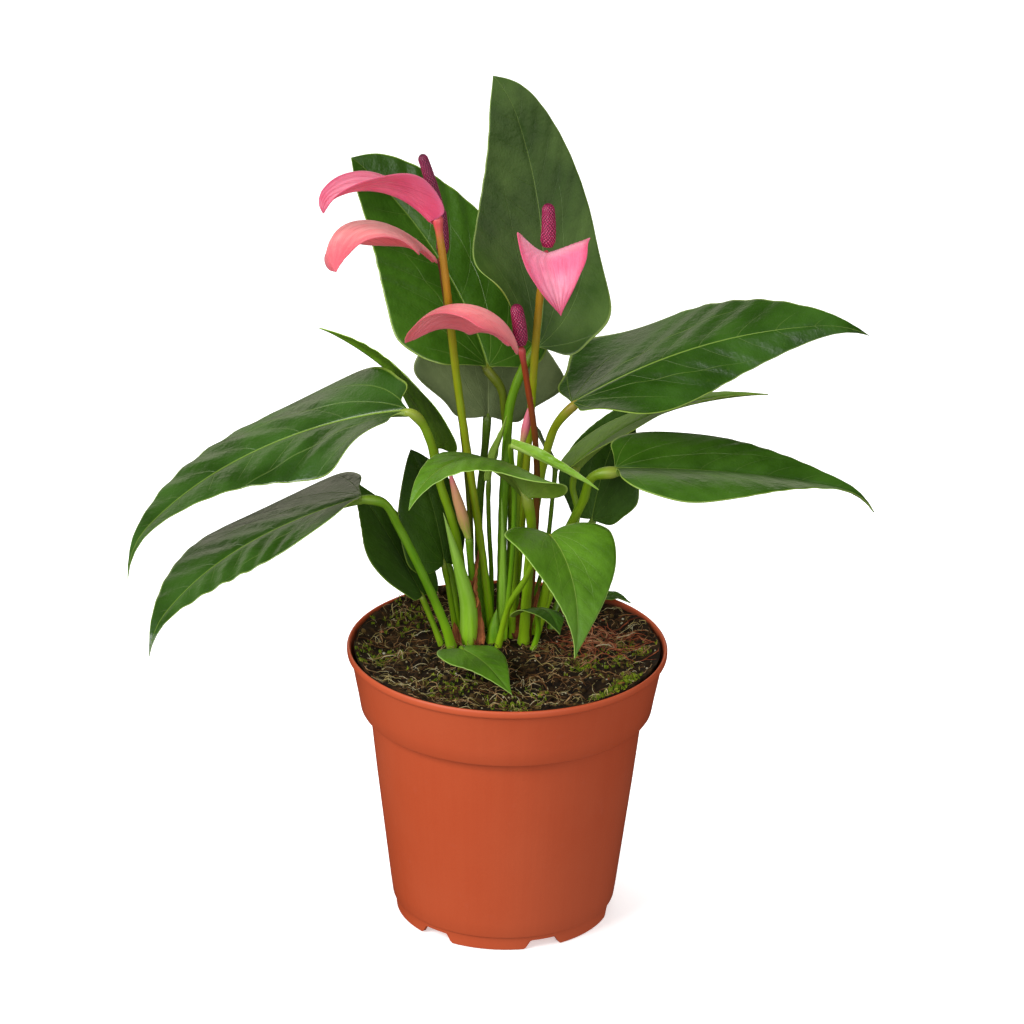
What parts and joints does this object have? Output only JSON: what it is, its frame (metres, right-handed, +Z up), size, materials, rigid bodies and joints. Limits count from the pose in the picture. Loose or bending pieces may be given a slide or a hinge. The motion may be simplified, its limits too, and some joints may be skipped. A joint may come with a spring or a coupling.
{
  "type": "potted anthurium",
  "caption": "Bushy plant with pointed glossy leaves and pink hooded flowers on slim stalks, growing in soil in a tapered round plastic nursery pot.",
  "frame": {"origin": "on the pot's axis, at the ground the pot stands on", "axes": "+Z up along the pot's axis; -Y towards the front, the side the low leaves lean over; +X towards the right"},
  "size_m": [0.2716, 0.1286, 0.3176],
  "materials": {
    "pot_plastic": "satin",
    "potting_soil": "matt",
    "leaf": "glossy",
    "young_leaf": "satin",
    "green_stalk": "satin",
    "flower_stalk": "satin",
    "spathe": "satin",
    "spadix": "matt",
    "sheath": "satin"
  },
  "bodies": {
    "root": {"pot": "pot_plastic", "soil": "potting_soil", "leaf_tall": "leaf", "stalk_tall": "green_stalk", "leaf_back_left": "leaf", "stalk_back_left": "green_stalk", "leaf_behind": "leaf", "stalk_behind": "green_stalk", "leaf_right_upper": "leaf", "stalk_right_upper": "green_stalk", "leaf_right_lower": "leaf", "stalk_right_lower": "green_stalk", "leaf_right_behind": "leaf", "stalk_right_behind": "green_stalk", "leaf_right_upright": "leaf", "stalk_right_upright": "green_stalk", "leaf_left_upper": "leaf", "stalk_left_upper": "green_stalk", "leaf_left_lower": "leaf", "stalk_left_lower": "green_stalk", "leaf_left_behind": "leaf", "stalk_left_behind": "green_stalk", "leaf_low_left": "leaf", "stalk_low_left": "green_stalk", "leaf_inner_left": "leaf", "stalk_inner_left": "green_stalk", "leaf_front_arching": "leaf", "stalk_front_arching": "green_stalk", "leaf_young": "young_leaf", "stalk_young": "green_stalk", "leaf_front_right": "leaf", "stalk_front_right": "green_stalk", "leaf_front_small": "leaf", "stalk_front_small": "green_stalk", "leaf_curled": "leaf", "stalk_curled": "green_stalk", "leaf_thin": "leaf", "stalk_thin": "green_stalk", "leaf_pale_behind": "leaf", "stalk_pale_behind": "green_stalk", "leaf_rim": "leaf", "stalk_flower_top": "flower_stalk", "spathe_top": "spathe", "spadix_top": "spadix", "stalk_flower_second": "flower_stalk", "spathe_second": "spathe", "spadix_second": "spadix", "stalk_flower_middle": "flower_stalk", "spathe_middle": "spathe", "spadix_middle": "spadix", "stalk_flower_right": "flower_stalk", "spathe_right": "spathe", "spadix_right": "spadix", "bud_right": "spathe", "stalk_bud_right": "green_stalk", "bud_left": "spathe", "stalk_bud_left": "green_stalk", "sheath_large": "sheath", "sheath_pale": "sheath", "sheath_basal": "sheath"}
  },
  "joints": []
}
